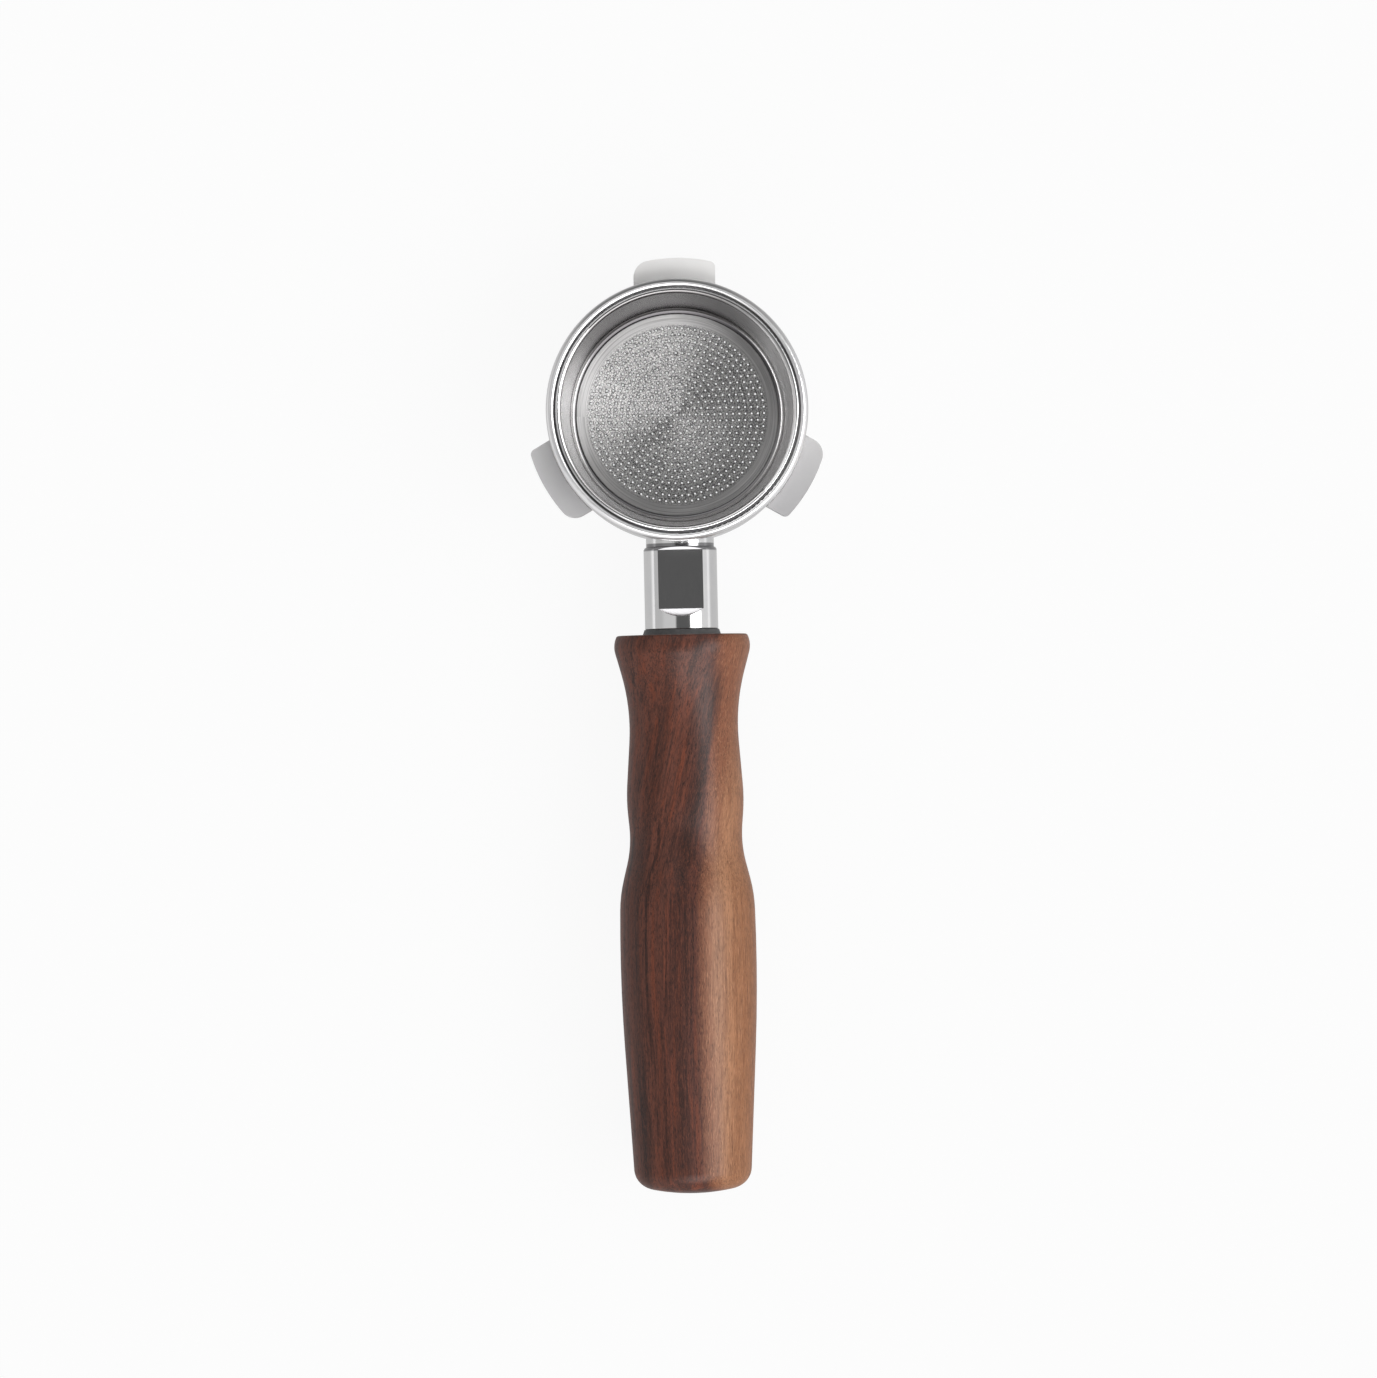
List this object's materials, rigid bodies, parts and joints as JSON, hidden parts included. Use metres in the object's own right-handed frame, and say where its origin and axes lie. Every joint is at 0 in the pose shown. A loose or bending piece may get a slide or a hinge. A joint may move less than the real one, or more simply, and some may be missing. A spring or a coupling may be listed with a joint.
{
  "type": "bottomless portafilter",
  "caption": "Open-bottomed espresso portafilter: bayonet ring on a steel neck, perforated basket held by a wire spring, and a turned wooden handle.",
  "frame": {"origin": "on the ring's axis, in the plane of the basket's rim, where the machine's gasket seals", "axes": "+Z along the ring's axis out of the basket's mouth; the handle points along -Y"},
  "size_m": [0.0705, 0.2272, 0.0391],
  "materials": {
    "polished_steel": "polished, with bead-blasted lugs",
    "spring_steel": "drawn wire",
    "brushed_steel": "circular brushed",
    "neck_steel": "polished",
    "plated_steel": "zinc plated",
    "washer_rubber": "satin",
    "brass": "turned",
    "walnut": "oiled, satin"
  },
  "bodies": {
    "holder": {"filter_holder": "polished_steel", "neck": "neck_steel", "handle_stud": "plated_steel", "handle_washer": "washer_rubber", "handle_insert": "brass", "handle": "walnut"},
    "retainer": {"basket_spring": "spring_steel"},
    "basket": {"filter_basket": "brushed_steel"}
  },
  "joints": [
    {"name": "basket_turn", "type": "hinge", "parent": "holder", "child": "retainer", "pos_m": [0, 0, 0], "axis": [0, 0, 1], "continuous": true},
    {"name": "basket_lift", "type": "slide", "parent": "retainer", "child": "basket", "axis": [0, 0, 1], "range_m": [0, 0.04]}
  ]
}
